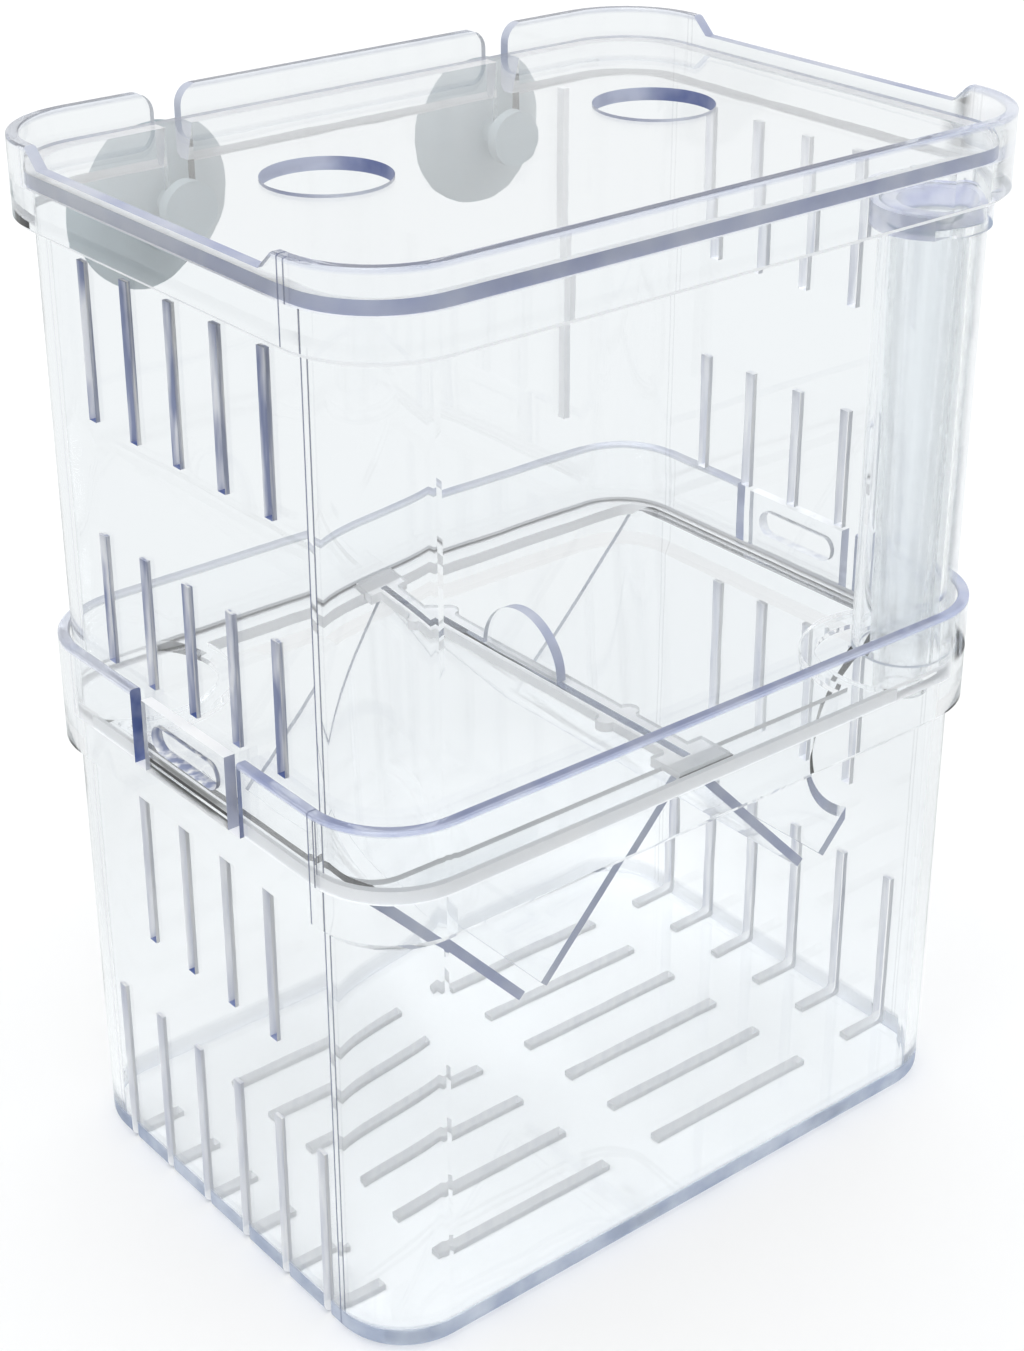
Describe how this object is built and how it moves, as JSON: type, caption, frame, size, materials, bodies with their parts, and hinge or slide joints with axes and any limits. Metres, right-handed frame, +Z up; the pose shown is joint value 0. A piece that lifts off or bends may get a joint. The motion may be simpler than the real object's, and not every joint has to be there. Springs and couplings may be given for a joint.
{
  "type": "fish breeding box",
  "caption": "Clear two-storey breeding box with slotted walls, a V-trough trap tray, a lift-out ridge, a lid, a feeding tube and suction cups.",
  "frame": {"origin": "centre of the lower box's underside, on the surface it stands on", "axes": "+Z up, +X along the long side to the end with the feeding tube, +Y to the back, where the suction cups are"},
  "size_m": [0.125, 0.0955, 0.1668],
  "materials": {
    "clear_plastic": "clear, polished",
    "soft_cup": "soft, translucent"
  },
  "bodies": {
    "lower_box": {"lower_box": "clear_plastic"},
    "trap_tray": {"trap_tray": "clear_plastic"},
    "ridge_divider": {"ridge_divider": "clear_plastic"},
    "upper_box": {"upper_box": "clear_plastic"},
    "lid": {"lid": "clear_plastic"},
    "feeding_tube": {"feeding_tube": "clear_plastic"},
    "suction_cup_left": {"suction_cup_left": "soft_cup"},
    "suction_cup_right": {"suction_cup_right": "soft_cup"}
  },
  "joints": [
    {"name": "tray_lift", "type": "slide", "parent": "lower_box", "child": "trap_tray", "axis": [0, 0, 1], "range_m": [0, 0.04]},
    {"name": "ridge_lift", "type": "slide", "parent": "trap_tray", "child": "ridge_divider", "axis": [0, 0, 1], "range_m": [0, 0.06]},
    {"name": "upper_box_lift", "type": "slide", "parent": "trap_tray", "child": "upper_box", "axis": [0, 0, 1], "range_m": [0, 0.06]},
    {"name": "lid_lift", "type": "slide", "parent": "upper_box", "child": "lid", "axis": [0, 0, 1], "range_m": [0, 0.04]},
    {"name": "tube_lift", "type": "slide", "parent": "upper_box", "child": "feeding_tube", "axis": [0, 0, 1], "range_m": [0, 0.0065]},
    {"name": "left_cup_lift", "type": "slide", "parent": "upper_box", "child": "suction_cup_left", "axis": [0, 0, 1], "range_m": [0, 0.007]},
    {"name": "right_cup_lift", "type": "slide", "parent": "upper_box", "child": "suction_cup_right", "axis": [0, 0, 1], "range_m": [0, 0.007]}
  ]
}
